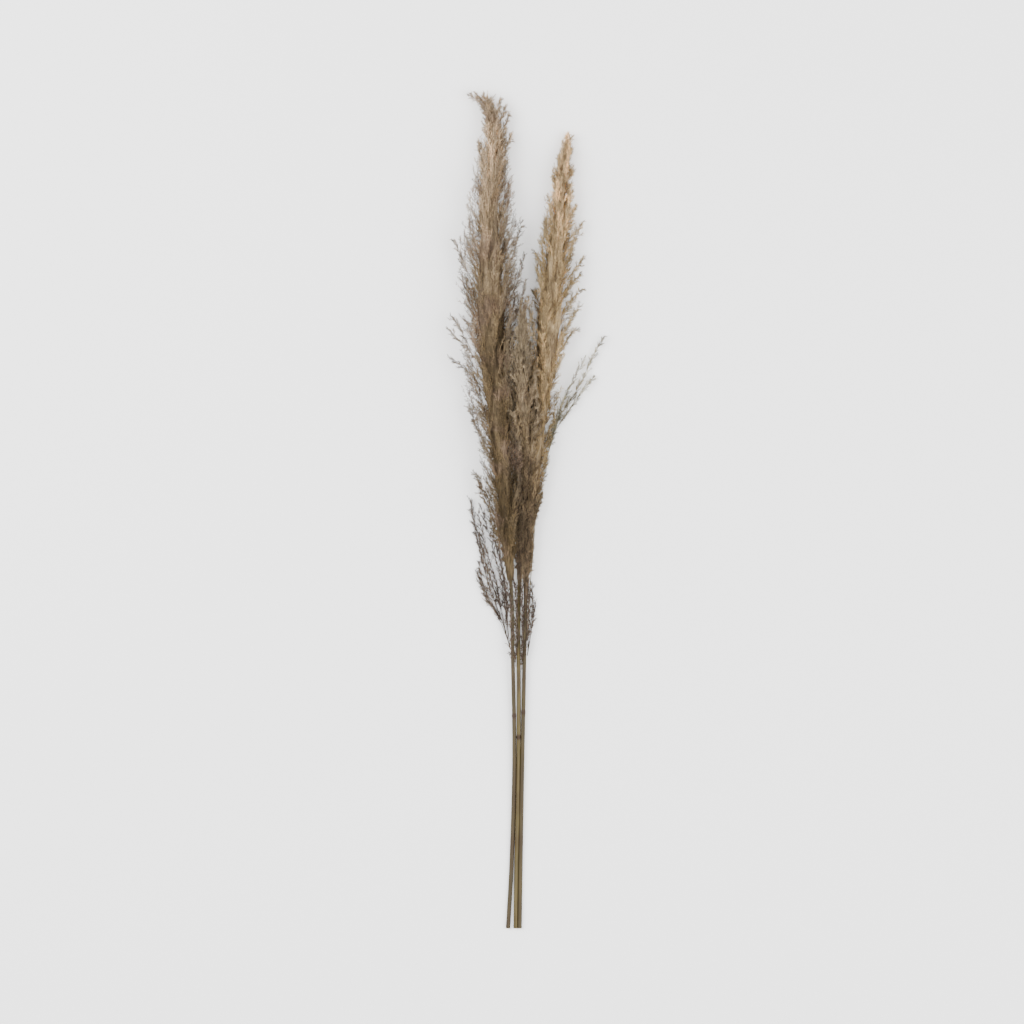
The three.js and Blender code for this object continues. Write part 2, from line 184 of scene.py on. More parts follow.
# How much room a plume takes, past which share of its room a strand is pressed back, how far strands
# keep clear of the other stalks, how much more room there is at the tip, and how low a strand lies.
OUTER_REACH = 1.1
SOFT_FROM = 0.55
EDGE = (0.84, 1.12)
EDGE_FROM = 0.8
BRANCH_CLEARANCE = 1.5
SHOOT_CLEARANCE = -10.0
TIP_SLACK = 5.0
TIP_SLACK_FROM = 0.7
RESTING_DEPTH = 4.0

# The dense inside of a plume.
CORE_STATIONS = 60
CORE_SIDES = 20
CORE_TOP = 0.97
CORE_UNEVENNESS = (0.75, 1.1)
CORE_THINNEST = 0.8
CORE_CHANCE = 0.3

# Branches: where the last one leaves the centre line, how far tips beyond the plume's end are put
# back, how unevenly the branches stand and how far they reach.
BRANCH_STATIONS = 9
LAST_ROOT = 0.93
TIPS_BACK = (0.0, 0.85)
BRANCH_TURN = (-0.3, 0.3)
BRANCH_SWAY = (-0.25, 0.25)
BRANCH_LENGTHS = (0.85, 1.2)
BRANCH_FLARE = 1.2
BRANCH_RADII = (0.6, 0.2)
BRANCH_TONE = 0.4
INNER_IN_EIGHT = 3
INNER_REACH = (0.3, 0.62)
OUTER_BRANCH_REACH = (0.72, 1.02)

# Side shoots: where they start on a branch, how they turn off and curl, and how they stand at the edge
# and on the silky top of a plume, where heights count less than widths. Below a reach of 24 mm they
# are shorter.
SHOOT_STATIONS = 5
FIRST_SHOOT = 0.12
SHOOTS_OUTWARD = 0.75
SHOOT_ANGLE = (math.radians(12), math.radians(48))
SHOOT_LEAN = (0.0, 0.45)
SHOOT_CURL = (0.1, 0.95)
CURL_OUTWARD = 0.35
CURL_BY_CHANCE = 0.8
SHOOT_WAVES = 1.3
SHOOT_WAVE_TURN = 1.1
SHOOT_LENGTHS = (0.55, 1.2)
SHOOT_FULL_REACH = 24
SHOOT_SHORTEST = 0.6
LOOSE_SHOOT = 0.4
LOOSE_FREEDOM = 0.6
LEAST_FREEDOM = 0.15
HEIGHT_SHARE = 0.45
TOP_SILKINESS = 0.6

# Spikelets and hairs: where they start on a shoot, how far they stand off it at least and by their
# freedom, their angles to it, how much their sizes vary, and what they take of the shoot's tone and of
# chance.
SPIKELETS = 12
FIRST_SPIKELET = 0.1
FIRST_HAIR = 0.15
SPIKELET_ANGLE = (math.radians(16), math.radians(50))
SPIKELET_LENGTHS = (0.7, 1.3)
SPIKELET_WIDTHS = (0.7, 1.2)
SPIKELET_BOW = 0.12
SPIKELET_MIDDLE_BOW = 0.2
SPIKELET_WIDEST = 0.38
EDGE_SPIKELET = 0.7
HAIR_ANGLE = (math.radians(20), math.radians(60))
HAIR_LENGTHS = (0.6, 1.2)
STANDING = (0.55, 0.45)
TONE_SHARES = (0.6, 0.4)


def unit(vectors):
    """Each vector at length one."""
    lengths = np.linalg.norm(vectors, axis=-1, keepdims=True)
    return vectors / np.maximum(lengths, 1e-9)


def across(heading):
    """Two directions square to each heading."""
    forward = unit(heading)
    upright = np.abs(forward[..., 2:3]) > 0.9
    helper = np.where(upright, (1.0, 0.0, 0.0), (0.0, 0.0, 1.0))
    side = unit(np.cross(helper, forward))
    return side, np.cross(forward, side)


def around(heading, angle):
    """Directions square to each heading, by their angle round it."""
    side, up = across(heading)
    return side * np.cos(angle)[..., None] + up * np.sin(angle)[..., None]


def turned(heading, angle, about):
    """Each heading tilted by an angle, towards the side that a turn about it names."""
    return unit(heading) * np.cos(angle)[..., None] + around(heading, about) * np.sin(angle)[..., None]


def read_off(places, known, points):
    """Points at places between the known ones."""
    return np.stack([np.interp(places, known, points[:, k]) for k in range(3)], -1)


def even_points(points, count):
    """Evenly spaced points of a smooth line through the given points, and the line's length."""
    points = np.asarray(points, float)
    held = np.vstack([2 * points[0] - points[1], points, 2 * points[-1] - points[-2]])
    step = np.linspace(0, 1, STEPS_BETWEEN_POINTS, endpoint=False)[:, None]
    pieces = []
    for first, start, end, last in zip(held, held[1:], held[2:], held[3:]):
        steps = (first, start), (start, end), (end, last)
        before, along, after = (max(np.linalg.norm(b - a), 1e-6) ** 0.5 for a, b in steps)
        leave = (start - first) / before - (end - first) / (before + along) + (end - start) / along
        arrive = (end - start) / along - (last - start) / (along + after) + (last - end) / after
        leave, arrive = leave * along, arrive * along
        square = -3 * start + 3 * end - 2 * leave - arrive
        cube = 2 * start - 2 * end + leave + arrive
        pieces.append(start + leave * step + square * step**2 + cube * step**3)
    dense = np.vstack(pieces + [points[-1:]])
    gone = np.concatenate([[0], np.cumsum(np.linalg.norm(np.diff(dense, axis=0), axis=1))])
    return read_off(np.linspace(0, gone[-1], count), gone, dense), gone[-1]


def spread(values, share):
    """The value of a list at each share of its length."""
    return np.interp(share, np.linspace(0, 1, len(values)), values)


class Stalk:
    """A stalk's centre line and how far its plume reaches from it."""

    def __init__(self, name, facts):
        self.name = name
        self.facts = facts
        self.samples, self.length = even_points(facts["line"], LINE_SAMPLES + 1)
        self.headings = unit(np.gradient(self.samples, axis=0))
        self.shares = np.linspace(0, 1, LINE_SAMPLES + 1)
        self.foot = np.argmax(self.samples[:, 1] > facts["plume_foot"]) / LINE_SAMPLES
        self.plume_length = self.length * (1 - self.foot)
        plume_shares = (self.shares - self.foot) / (1 - self.foot)
        reach = spread(facts["envelope"], plume_shares) * OUTER_REACH
        self.rooms = np.where(plume_shares < 0, STEM_RADIUS, reach)
        slack = TIP_SLACK * np.clip((plume_shares - TIP_SLACK_FROM) / (1 - TIP_SLACK_FROM), 0, 1)
        self.edges = self.rooms / OUTER_REACH + slack

    def on_line(self, share):
        """Points of the whole centre line."""
        return read_off(share, self.shares, self.samples)

    def on_plume(self, share):
        """Points of the plume's part of the centre line, and the headings there."""
        place = np.clip(self.foot + (1 - self.foot) * share, 0, 1)
        return self.on_line(place), read_off(place, self.shares, self.headings)

    def at(self, y):
        """The centre line's points at places along Y, the room taken there, and whether the line is there."""
        ys = self.samples[:, 1]
        centre = read_off(y, ys, self.samples)
        centre[..., 1] = y
        return centre, np.interp(y, ys, self.rooms), (y > ys[0]) & (y < ys[-1])

    def reach(self, share):
        """How far the plume reaches from the line."""
        return spread(self.facts["envelope"], share)


STALK_SET = {name: Stalk(name, facts) for name, facts in STALKS.items()}


def softened(distance, limit, soft_from=SOFT_FROM):
    """Distances that near their limits and never pass them."""
    limit = np.maximum(limit, 1e-3)
    share = distance / limit
    eased = soft_from + (1 - soft_from) * np.tanh((share - soft_from) / (1 - soft_from))
    return np.where(share <= soft_from, distance, limit * eased)


def settled(points, stalk, clearance):
    """Moves points of a plume clear of the other stalks."""
    moved = points.copy()
    own, room, inside = stalk.at(points[..., 1])
    for other in STALK_SET.values():
        if other is stalk:
            continue
        there, taken, beside = other.at(points[..., 1])
        apart = there - own
        gap = np.linalg.norm(apart, axis=-1)
        direction = unit(apart)
        limit = gap * room / (room + taken) - clearance
        distance = ((moved - own) * direction).sum(-1)
        held = beside & inside & (distance > 0) & (limit > 0)
        change = np.where(held, softened(distance, limit) - distance, 0)
        moved += direction * change[..., None]
    return moved


def rested(points):
    """Presses what would lie under the surface flat on it."""
    moved = points.copy()
    height = moved[..., 2]
    pressed = RESTING_DEPTH * np.exp((height - RESTING_DEPTH) / RESTING_DEPTH)
    moved[..., 2] = np.where(height < RESTING_DEPTH, pressed, height)
    return moved


SPINDLE_FACES = np.array([(2, 1, 0), (3, 2, 0), (1, 3, 0), (1, 2, 4), (2, 3, 4), (3, 1, 4)])
NEEDLE_FACES = np.array([(2, 1, 0), (0, 1, 3), (1, 2, 3), (2, 0, 3)])


def walls(stations, sides):
    """Faces between the rings of corners along a strand."""
    faces = []
    for station in range(stations - 1):
        for corner in range(sides):
            a = station * sides + corner
            b = station * sides + (corner + 1) % sides
            faces += [(a, b, b + sides), (a, b + sides, a + sides)]
    return faces


def placed(name, data):
    """A new object in the scene."""
    made = bpy.data.objects.new(name, data)
    bpy.context.scene.collection.objects.link(made)
    return made


class Strands:
    """Gathers the corners, faces and tones of many thin bodies that become one mesh."""

    def __init__(self):
        self.corners = []
        self.faces = []
        self.tones = []
        self.count = 0

    def add(self, corners, faces, tones):
        """Adds bodies that share their faces, with one tone a body or a corner."""
        bodies, each = corners.shape[:2]
        starts = self.count + each * np.arange(bodies)
        self.corners.append(corners.reshape(-1, 3))
        self.faces.append((starts[:, None, None] + faces[None]).reshape(-1, 3))
        tones = tones if tones.ndim == 3 else np.repeat(tones[:, None], each, 1)
        self.tones.append(tones.reshape(-1, 4))
        self.count += bodies * each

    def spindles(self, start, heading, length, width, bow, tones):
        """Closed slips that are widest below their middle and end in a point."""
        side, up = across(heading)
        forward = unit(heading)
        middle = rested(start + forward * (length * SPIKELET_WIDEST)[:, None] + bow * SPIKELET_MIDDLE_BOW)
        end = rested(start + forward * length[:, None] + bow)
        ring = [middle + self.corner(side, up, k, width) for k in range(3)]
        self.add(np.stack([rested(start), *ring, end], 1), SPINDLE_FACES, tones)

    def needles(self, start, heading, length, width, tones):
        """Closed hairs that taper from their root."""
        side, up = across(heading)
        end = rested(start + unit(heading) * length[:, None])
        ring = [rested(start) + self.corner(side, up, k, width) for k in range(3)]
        self.add(np.stack([*ring, end], 1), NEEDLE_FACES, tones)

    @staticmethod
    def corner(side, up, number, width):
        """One corner of a three-cornered ring."""
        angle = number * math.tau / 3
        return (side * math.cos(angle) + up * math.sin(angle)) * (width / 2)[:, None]

    def threads(self, paths, radii, tones, sides=3):
        """Thin stalks along paths, which end in a point."""
        count, stations = paths.shape[:2]
        side, up = across(np.gradient(paths, axis=1))
        rings = []
        for station in range(stations - 1):
            for corner in range(sides):
                angle = corner * math.tau / sides
                away = side[:, station] * math.cos(angle) + up[:, station] * math.sin(angle)
                rings.append(paths[:, station] + away * radii[:, station, None])
        corners = np.stack([*rings, paths[:, -1]], 1)
        faces = [(0, k + 1, k) for k in range(1, sides - 1)] + walls(stations - 1, sides)
        last = (stations - 2) * sides
        faces += [(last + k, last + (k + 1) % sides, last + sides) for k in range(sides)]
        self.add(corners, np.array(faces), tones)

    def tube(self, rings, tones):
        """One closed skin over rings of corners, with a middle corner at each end."""
        stations, sides = rings.shape[:2]
        corners = np.vstack([rings.reshape(-1, 3), rings[0].mean(0), rings[-1].mean(0)])
        faces = walls(stations, sides)
        first, last, top = stations * sides, stations * sides + 1, (stations - 1) * sides
        for k in range(sides):
            turn = (k + 1) % sides
            faces += [(first, turn, k), (last, top + k, top + turn)]
        ends = np.vstack([tones.reshape(-1, 4), tones[0].mean(0), tones[-1].mean(0)])
        self.add(corners[None], np.array(faces), ends[None])

    def piece(self, name, material, stands_for):
        """The mesh piece, which takes the place of the solids that it stands for."""
        corners = np.concatenate(self.corners)
        corners[:, 2] = np.maximum(corners[:, 2], 0)
        corners = ((corners - DRAWING_MIDDLE) * MM).tolist()
        mesh = bpy.data.meshes.new(name)
        mesh.from_pydata(corners, [], np.concatenate(self.faces).tolist(), shade_flat=False)
        tones = mesh.color_attributes.new(name="tone", type="FLOAT_COLOR", domain="POINT")
        tones.data.foreach_set("color", np.concatenate(self.tones).astype(np.float32).ravel())
        mesh.materials.append(material)
        made = placed(name, mesh)
        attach(made, BODY)
        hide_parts(*stands_for)


def between(draw, low_high, shape):
    """Random numbers between a low and a high one."""
    return draw.uniform(low_high[0], low_high[1], shape)


def in_plume(stalk, share, angle, distance):
    """Points of a plume by their share of its length and their angle round and distance from its line."""
    centre, heading = stalk.on_plume(share)
    return settled(centre + around(heading, angle) * distance[..., None], stalk, BRANCH_CLEARANCE)


def branch_paths(stalk, draw):
    """The lines of a plume's branches and loose tufts, and how far up the plume each place on them is."""
    count = stalk.facts["branches"]
    index = np.arange(count)
    root = LAST_ROOT * (index + draw.random(count)) / count
    angle = index * GOLDEN_ANGLE + between(draw, BRANCH_TURN, count)
    length = spread(stalk.facts["branch_length"], root) * between(draw, BRANCH_LENGTHS, count)
    tip = root + length / stalk.plume_length
    tip = np.where(tip > 1, 1 - (1 - root) * between(draw, TIPS_BACK, count), tip)
    inner = index % 8 < INNER_IN_EIGHT
    near, far = between(draw, INNER_REACH, count), between(draw, OUTER_BRANCH_REACH, count)
    reach = np.where(inner, near, far) * stalk.reach(tip)
    part = np.linspace(0, 1, BRANCH_STATIONS)[None]
    share = root[:, None] + (tip - root)[:, None] * part
    core = stalk.reach(root) * stalk.facts["core_share"] * 0.5
    distance = core[:, None] + (reach - core)[:, None] * part**BRANCH_FLARE
    sway = between(draw, BRANCH_SWAY, count)[:, None] * part
    paths = in_plume(stalk, share, angle[:, None] + sway, distance)
    loose = np.array([even_points(line, BRANCH_STATIONS)[0] for line in stalk.facts["loose"]])
    place = np.interp(loose[..., 1], stalk.samples[:, 1], stalk.shares)
    loose_share = (place - stalk.foot) / (1 - stalk.foot)
    return np.concatenate([paths, loose]), np.concatenate([share, loose_share])


def on_paths(paths, part):
    """Points of paths at a share of each, and the headings there."""
    place = np.clip(part, 0, 0.9999) * (paths.shape[1] - 1)
    step = place.astype(int)
    rest = (place - step)[..., None]
    row = np.arange(len(paths)).reshape(-1, *([1] * (part.ndim - 1)))
    start, end = paths[row, step], paths[row, step + 1]
    return start + (end - start) * rest, end - start


def held_in(points, stalk, limit):
    """Bends what would stand out of a plume's outline upward along it."""
    centre, _, inside = stalk.at(points[..., 1])
    away = points - centre
    distance = np.linalg.norm(away, axis=-1)
    edge = np.interp(points[..., 1], stalk.samples[:, 1], stalk.edges) * limit
    kept = np.where(inside & (distance > 0), softened(distance, edge, EDGE_FROM), distance)
    return centre + unit(away) * kept[..., None]


def outward(points, stalk):
    """Directions from the plume's centre line, and the distances as shares of the plume's reach."""
    centre, room, _ = stalk.at(points[..., 1])
    away = points - centre
    away[..., 1] = 0
    distance = np.linalg.norm(away * (1, 1, HEIGHT_SHARE), axis=-1)
    return unit(away), distance * OUTER_REACH / np.maximum(room, 1)


def shoot_paths(starts, headings, away, lengths, freedom, sizes, draw):
    """Curved lines of the small side shoots that carry the spikelets. Freedom is 0 where they lie silky
    and straight and 1 where they stand out and curl."""
    count = len(starts)
    angle = between(draw, SHOOT_ANGLE, count) * (0.5 + 0.5 * freedom)
    direction = turned(headings, angle, draw.uniform(0, math.tau, count))
    direction = unit(direction + away * (between(draw, SHOOT_LEAN, count) * freedom)[:, None])
    loose = unit(draw.normal(size=(count, 3)))
    curled = (between(draw, SHOOT_CURL, count) * freedom)[:, None]
    curl = (away * CURL_OUTWARD + loose * CURL_BY_CHANCE) * curled
    side, up = across(direction)
    part = np.linspace(0, 1, SHOOT_STATIONS)[None, :, None]
    phase = draw.uniform(0, math.tau, (count, 1, 1))
    wave = np.sin(part * math.tau * SHOOT_WAVES + phase) * part * sizes.wave * freedom[:, None, None]
    line = direction[:, None] * part + curl[:, None] * part**2
    bends = (side * math.cos(SHOOT_WAVE_TURN) + up * math.sin(SHOOT_WAVE_TURN))[:, None] * wave
    return starts[:, None] + line * lengths[:, None, None] + bends


class Sizes:
    """The strand sizes of a drawing, in millimetres."""

    def __init__(self, looks):
        for key in looks.__annotations__:
            setattr(self, key, getattr(looks, key) / MM)


def along(paths, number, first, draw):
    """Points spread by chance over each path from a first share on, and the headings there."""
    part = first + (1 - first) * (np.arange(number)[None] + draw.random((len(paths), number))) / number
    return on_paths(paths, part)


def dress(strands, paths, tones, counts, sizes, draw, freedom, scale):
    """Clothes small side shoots with their counts of spikelets and silky hairs."""
    spikelets, hairs = counts
    count = len(paths)
    standing = (STANDING[0] + STANDING[1] * freedom)[:, None]
    radii = np.linspace(1, 0.5, SHOOT_STATIONS)[None] * sizes.thread_width / 2
    strands.threads(rested(paths), np.repeat(radii, count, 0), tones)
    start, heading = along(paths, spikelets, FIRST_SPIKELET, draw)
    turn = np.arange(spikelets)[None] * GOLDEN_ANGLE + draw.uniform(0, math.tau, (count, 1))
    direction = turned(heading, between(draw, SPIKELET_ANGLE, turn.shape) * standing, turn)
    tone = np.repeat(tones[:, None], spikelets, 1)
    tone[..., 1] = tone[..., 1] * TONE_SHARES[0] + draw.random(turn.shape) * TONE_SHARES[1]
    total = count * spikelets
    each = np.repeat(scale, spikelets)
    length = sizes.spikelet_length * each * between(draw, SPIKELET_LENGTHS, total)
    width = sizes.spikelet_width * between(draw, SPIKELET_WIDTHS, total)
    bow = draw.normal(size=(total, 3)) * (length * SPIKELET_BOW)[:, None]
    start, direction = start.reshape(-1, 3), direction.reshape(-1, 3)
    strands.spindles(start, direction, length, width, bow, tone.reshape(-1, 4))
    start, heading = along(paths, hairs, FIRST_HAIR, draw)
    turn = draw.uniform(0, math.tau, (count, hairs))
    direction = turned(heading, between(draw, HAIR_ANGLE, turn.shape) * standing, turn)
    tone = np.repeat(tones, hairs, 0)
    total = count * hairs
    length = sizes.hair_length * np.repeat(scale, hairs) * between(draw, HAIR_LENGTHS, total)
    width = np.full(total, sizes.hair_width)
    strands.needles(start.reshape(-1, 3), direction.reshape(-1, 3), length, width, tone)


def plume_core(strands, stalk, draw):
    """The dense inside of a plume."""
    grid = CORE_STATIONS, CORE_SIDES
    share = np.linspace(0, CORE_TOP, CORE_STATIONS)[:, None]
    angle = np.linspace(0, math.tau, CORE_SIDES, endpoint=False)[None]
    blunt = 1 - share**6
    radius = stalk.reach(share) * stalk.facts["core_share"] * blunt
    radius = np.maximum(radius * between(draw, CORE_UNEVENNESS, grid), CORE_THINNEST)
    rings = in_plume(stalk, np.repeat(share, CORE_SIDES, 1), np.repeat(angle, CORE_STATIONS, 0), radius)
    tones = np.zeros((*grid, 4))
    tones[..., 1] = draw.random(grid) * CORE_CHANCE
    tones[..., 2] = share
    strands.tube(rested(rings), tones)


def plume_pieces(stalk, sizes, material, names):
    """One plume: its core, its branches and their side shoots, shared out over its pieces by height."""
    facts = stalk.facts
    draw = np.random.default_rng(facts["seed"])
    paths, shares = branch_paths(stalk, draw)
    shoots = facts["shoots"]
    part = (np.arange(shoots)[None] + draw.random((len(paths), shoots))) / shoots
    part = FIRST_SHOOT + (1 - FIRST_SHOOT) * part**SHOOTS_OUTWARD
    starts, headings = (found.reshape(-1, 3) for found in on_paths(paths, part))
    away, radial = outward(starts, stalk)
    place = np.take_along_axis(shares, (part * (BRANCH_STATIONS - 1)).astype(int), 1).reshape(-1)
    narrow = np.clip(stalk.reach(place) / SHOOT_FULL_REACH, SHOOT_SHORTEST, 1)
    lengths = sizes.shoot_length * facts["shoot_length"] * between(draw, SHOOT_LENGTHS, len(starts)) * narrow
    loose = np.arange(len(starts)) >= facts["branches"] * shoots
    lengths = np.where(loose, lengths * LOOSE_SHOOT, lengths)
    silky = 1 - TOP_SILKINESS * away[:, 2] ** 2
    freedom = np.where(loose, LOOSE_FREEDOM, np.clip(radial * silky, LEAST_FREEDOM, 1))
    twigs = shoot_paths(starts, headings, away, lengths, freedom, sizes, draw)
    twigs = settled(twigs, stalk, SHOOT_CLEARANCE)
    edge = between(draw, EDGE, (len(starts), 1))
    twigs = np.where(loose[:, None, None], twigs, held_in(twigs, stalk, edge))
    _, tip_radial = outward(twigs[:, -1], stalk)
    radial = np.clip((radial + tip_radial) / 2, 0, 1)
    tones = np.stack([radial, draw.random(len(starts)), place, np.ones(len(starts))], 1)
    rank = np.argsort(np.argsort(place, kind="stable"), kind="stable") / len(place)
    for number, name in enumerate(names):
        chosen = (rank >= number / len(names)) & (rank < (number + 1) / len(names))
        strands = Strands()
        if number == 0:
            plume_core(strands, stalk, draw)
            main_tones = np.ones((len(paths), 4))
            main_tones[:, 0] = BRANCH_TONE
            main_tones[:, 1] = draw.random(len(paths))
            main_tones[:, 2] = shares[:, 0]
            radii = np.linspace(*BRANCH_RADII, BRANCH_STATIONS)[None].repeat(len(paths), 0)
            strands.threads(rested(paths), radii, main_tones)
        scale = 1 - (1 - EDGE_SPIKELET) * tones[chosen, 0] ** 2
        counts = SPIKELETS, facts["hairs"]
        dress(strands, twigs[chosen], tones[chosen], counts, sizes, draw, freedom[chosen], scale)
        strands.piece(name, material, ["plume_" + stalk.name])


# Sprays: thin threads, each with the share of the first thread where it leaves that, or None where it
# leaves a stalk, its number of side shoots, where the first of them is, their length, and its line.
SIDE = [
    (None, 92, 0.5, 13, [
        (17.85, 414, 9.6), (20.5, 475, 6), (25, 530, 3.5), (30, 592, 3), (46, 675, 3),
        (61, 730, 4.5), (86, 768, 6), (106, 808, 7), (127, 850, 7),
    ]),
    (0.58, 48, 0.1, 12, [(60, 726, 6), (72, 764, 9), (88, 796, 9), (99, 814, 9)]),
    (0.66, 36, 0.15, 12, [(78, 746, 7), (93, 768, 9), (112, 790, 8)]),
    (0.6, 26, 0.2, 11, [(55, 716, 8), (64, 746, 10), (76, 770, 9)]),
]
LOW_LEFT = [
    (None, 76, 0.28, 12, [
        (-7.2, 404, 10.6), (-18, 440, 8.5), (-38, 495, 5.5), (-52, 550, 4), (-63, 612, 3),
    ]),
    (0.1, 58, 0.2, 12, [(-18, 452, 11), (-28, 500, 10), (-42, 548, 9), (-53, 596, 8)]),
    (0.04, 58, 0.2, 12, [(-12, 446, 10), (-20, 500, 12), (-33, 552, 11), (-48, 604, 8)]),
    (0.1, 36, 0.1, 12, [(-13, 474, 12), (-17, 506, 14), (-23, 540, 12)]),
    (0.08, 40, 0.28, 11, [(-26, 452, 4.5), (-42, 476, 4), (-54, 508, 3.4)]),
    (0.06, 46, 0.2, 12, [(-13, 470, 12), (-20, 520, 14), (-31, 570, 14), (-42, 622, 12)]),
    (0.05, 36, 0.2, 11, [(-11, 462, 13), (-16, 506, 16), (-23, 548, 17), (-31, 590, 17)]),
    (0.04, 42, 0.28, 11, [(-18, 440, 5), (-34, 466, 5), (-45, 492, 4), (-51, 522, 3.4)]),
    (0.12, 46, 0.25, 11, [(-24, 470, 8), (-34, 500, 8), (-43, 530, 6), (-52, 566, 5)]),
    (None, 44, 0.04, 11, [(-4.2, 380, 12), (-5.6, 436, 18), (-8, 472, 24), (-13, 502, 32)]),
    (None, 66, 0.04, 11, [(1.2, 376, 11), (1.6, 436, 14), (1.8, 472, 18), (0, 496, 21)]),
]
LOW_RIGHT = [
    (None, 26, 0.35, 10, [(17.6, 392, 8.6), (22, 418, 9), (25, 446, 8), (25, 492, 4)]),
    (0.1, 12, 0.3, 9, [(21, 422, 5), (27, 446, 4), (30, 464, 3.4)]),
    (0.05, 14, 0.2, 9, [(19, 424, 7), (21, 452, 6), (22, 480, 5)]),
    (None, 66, 0.04, 11, [(9.6, 372, 10), (10.6, 429, 13), (10.6, 472, 16), (9, 492, 17)]),
    (None, 34, 0.06, 10, [(15.6, 388, 11), (17.4, 429, 13.6), (19, 465, 15), (19, 494, 17)]),
]

# Each spray's threads and its seed.
SPRAYS = {"side": (SIDE, 51), "low_left": (LOW_LEFT, 52), "low_right": (LOW_RIGHT, 53)}
THREAD_STATIONS = 24
THREAD_SIDES = 5
FIRST_THREAD_RADIUS = 0.8
OTHER_THREAD_RADIUS = 0.5
THREAD_TIP_RADIUS = 0.25
THREAD_TONE = (0.5, 0.3, 0.5, 1.0)
SPRAY_SHOOTS_TO = 0.99
SPRAY_SHOOT_SHIFT = (-0.01, 0.01)
SPRAY_SHOOT_LENGTHS = (0.6, 1.3)
SPRAY_COUNTS = (9, 2)
SPRAY_SPIKELET = 0.63
SPRAY_FREEDOM = 0.3
SPRAY_TAPER = 0.3
SPRAY_SPREAD = (1, 1, 0.6)


def spray_piece(name, sizes, material):
    """One loose spray, with its threads, side shoots, spikelets and hairs."""
    threads, seed = SPRAYS[name]
    draw = np.random.default_rng(seed)
    strands = Strands()
    main = None
    for leaves, shoots, first, length, line in threads:
        if leaves is not None:
            line = [main[int(leaves * (THREAD_STATIONS - 1))]] + line
        path, _ = even_points(line, THREAD_STATIONS)
        main = path if main is None else main
        thickest = FIRST_THREAD_RADIUS if path is main else OTHER_THREAD_RADIUS
        radii = np.linspace(thickest, THREAD_TIP_RADIUS, THREAD_STATIONS)[None]
        strands.threads(rested(path[None]), radii, np.array([THREAD_TONE]), sides=THREAD_SIDES)
        part = np.linspace(first, SPRAY_SHOOTS_TO, shoots)
        part = part + between(draw, SPRAY_SHOOT_SHIFT, shoots)
        starts, headings = (found[0] for found in on_paths(path[None], part[None]))
        away = unit(draw.normal(size=starts.shape) * SPRAY_SPREAD)
        lengths = length * (1 - SPRAY_TAPER * part) * between(draw, SPRAY_SHOOT_LENGTHS, shoots)
        freedom = np.full(shoots, SPRAY_FREEDOM)
        twigs = shoot_paths(starts, headings, away, lengths, freedom, sizes, draw)
        tones = np.stack([draw.random(shoots), draw.random(shoots), part, np.ones(shoots)], 1)
        scale = np.full(shoots, SPRAY_SPIKELET)
        dress(strands, twigs, tones, SPRAY_COUNTS, sizes, draw, freedom, scale)
    strands.piece("spray_" + name + "_strands", material, ["spray_" + name])


# Stems: their radius where they lie and at the plume, where they are sampled besides evenly, and the
# swelling of the joint and the groove above it, each by its height, width and place.
STEM_SIDES = 20
STEM_STATIONS = 90
STEM_LYING_LENGTH = 90
STEM_ROUND_RADIUS = 3.1
STEM_TOP_RADIUS = 2.7
STEM_IN_PLUME = 0.01
STEM_FLOOR = 0.02
CUT_RINGS = (0.0004, 0.0012)
CUT_BEVEL = 0.25
JOINT_RINGS = (-6, -4, -2.5, -1, 0, 1, 2.5, 4, 6)
JOINT_SWELLING = (0.45, 2.2, 0.0)
JOINT_GROOVE = (0.12, 1.6, 4.5)
JOINT_COLOUR_WIDTH = 5.0


def bell(place, height, width, middle):
    """A smooth bump."""
    return height * np.exp(-(((place - middle) / width) ** 2))


def stem_piece(stalk, material):
    """One smooth round stem with its joint, lying with its cut end on the surface."""
    lying = STEM_LYING_LENGTH / stalk.length
    joint = stalk.facts["joint_at"] / stalk.length
    top = stalk.foot + STEM_IN_PLUME
    near_joint = joint + np.array(JOINT_RINGS) / stalk.length
    share = np.unique(np.concatenate([np.linspace(0, top, STEM_STATIONS), near_joint, CUT_RINGS]))
    taper = np.clip((share - lying) / (stalk.foot - lying), 0, 1)
    radius = STEM_ROUND_RADIUS + (STEM_TOP_RADIUS - STEM_ROUND_RADIUS) * taper
    from_joint = (share - joint) * stalk.length
    radius = radius + bell(from_joint, *JOINT_SWELLING) - bell(from_joint, *JOINT_GROOVE)
    radius[0] -= CUT_BEVEL
    centre = stalk.on_line(share)
    side, up = across(np.gradient(centre, axis=0))
    angle = np.linspace(0, math.tau, STEM_SIDES, endpoint=False)[None, :, None]
    away = side[:, None] * np.cos(angle) + up[:, None] * np.sin(angle)
    rings = centre[:, None] + away * radius[:, None, None]
    rings[..., 2] = np.maximum(rings[..., 2], STEM_FLOOR)
    tones = np.zeros((len(share), STEM_SIDES, 4))
    tones[..., 0] = bell(from_joint, 1.0, JOINT_COLOUR_WIDTH, 0.0)[:, None]
    tones[..., 1] = (share == 0)[:, None]
    # How far each side faces upward, from which the finish paints shade darker on the sides and underside.
    tones[..., 3] = np.sin(angle[..., 0])
    strands = Strands()
    strands.tube(rings, tones)
    strands.piece("stem_" + stalk.name + "_straw", material, ["stem_" + stalk.name])


def fill(tree, socket, value):
    """Links a socket to another node's, or sets it to a value or a colour."""
    if isinstance(value, bpy.types.NodeSocket):
        tree.links.new(value, socket)
    else:
        socket.default_value = (*value[:3], 1) if socket.type == "RGBA" else value


def linked(tree, kind, **inputs):
    """A new node with its sockets filled."""
    made = tree.nodes.new(kind)
    for key, value in inputs.items():
        fill(tree, made.inputs[key.replace("_", " ")], value)
    return made


def skin(tree, gloss, **inputs):
    """A surface shader with so much gloss and its other sockets filled."""
    return linked(tree, "ShaderNodeBsdfPrincipled", Specular_IOR_Level=gloss, **inputs)


